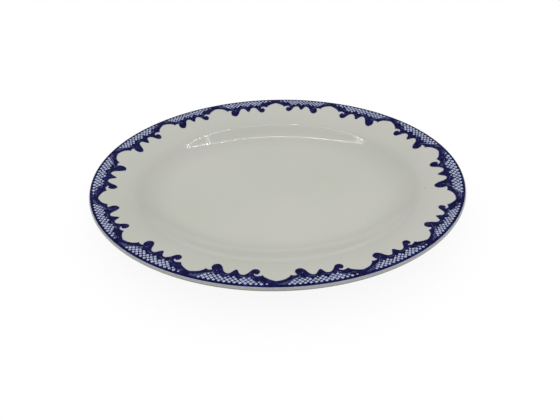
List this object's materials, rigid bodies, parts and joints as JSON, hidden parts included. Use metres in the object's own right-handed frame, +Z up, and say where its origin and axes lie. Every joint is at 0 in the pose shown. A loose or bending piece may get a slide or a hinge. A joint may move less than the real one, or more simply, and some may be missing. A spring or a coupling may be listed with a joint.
{
  "type": "serving platter",
  "caption": "Oval glazed china serving platter on a foot ring, with a banded rim line and a blue scroll-and-trellis border.",
  "frame": {"origin": "centre of the foot ring's flat underside, on the table", "axes": "+Z up, +X along the platter's length, +Y across it, away from the picture's camera"},
  "size_m": [0.356, 0.2846, 0.0333],
  "materials": {
    "bare_clay": "unglazed fired clay, matt",
    "white_glaze": "glossy off-white glaze",
    "cobalt_blue": "glossy cobalt blue print"
  },
  "bodies": {
    "root": {"clay_body": "bare_clay", "outer_glaze": "white_glaze", "base_glaze": "white_glaze", "rim_line": "cobalt_blue", "border_panel_01": "cobalt_blue", "border_panel_02": "cobalt_blue", "border_panel_03": "cobalt_blue", "border_panel_04": "cobalt_blue", "border_panel_05": "cobalt_blue", "border_panel_06": "cobalt_blue", "border_panel_07": "cobalt_blue", "border_panel_08": "cobalt_blue", "border_panel_09": "cobalt_blue", "border_panel_10": "cobalt_blue", "border_panel_11": "cobalt_blue", "border_panel_12": "cobalt_blue", "border_panel_13": "cobalt_blue", "border_panel_14": "cobalt_blue"}
  },
  "joints": []
}
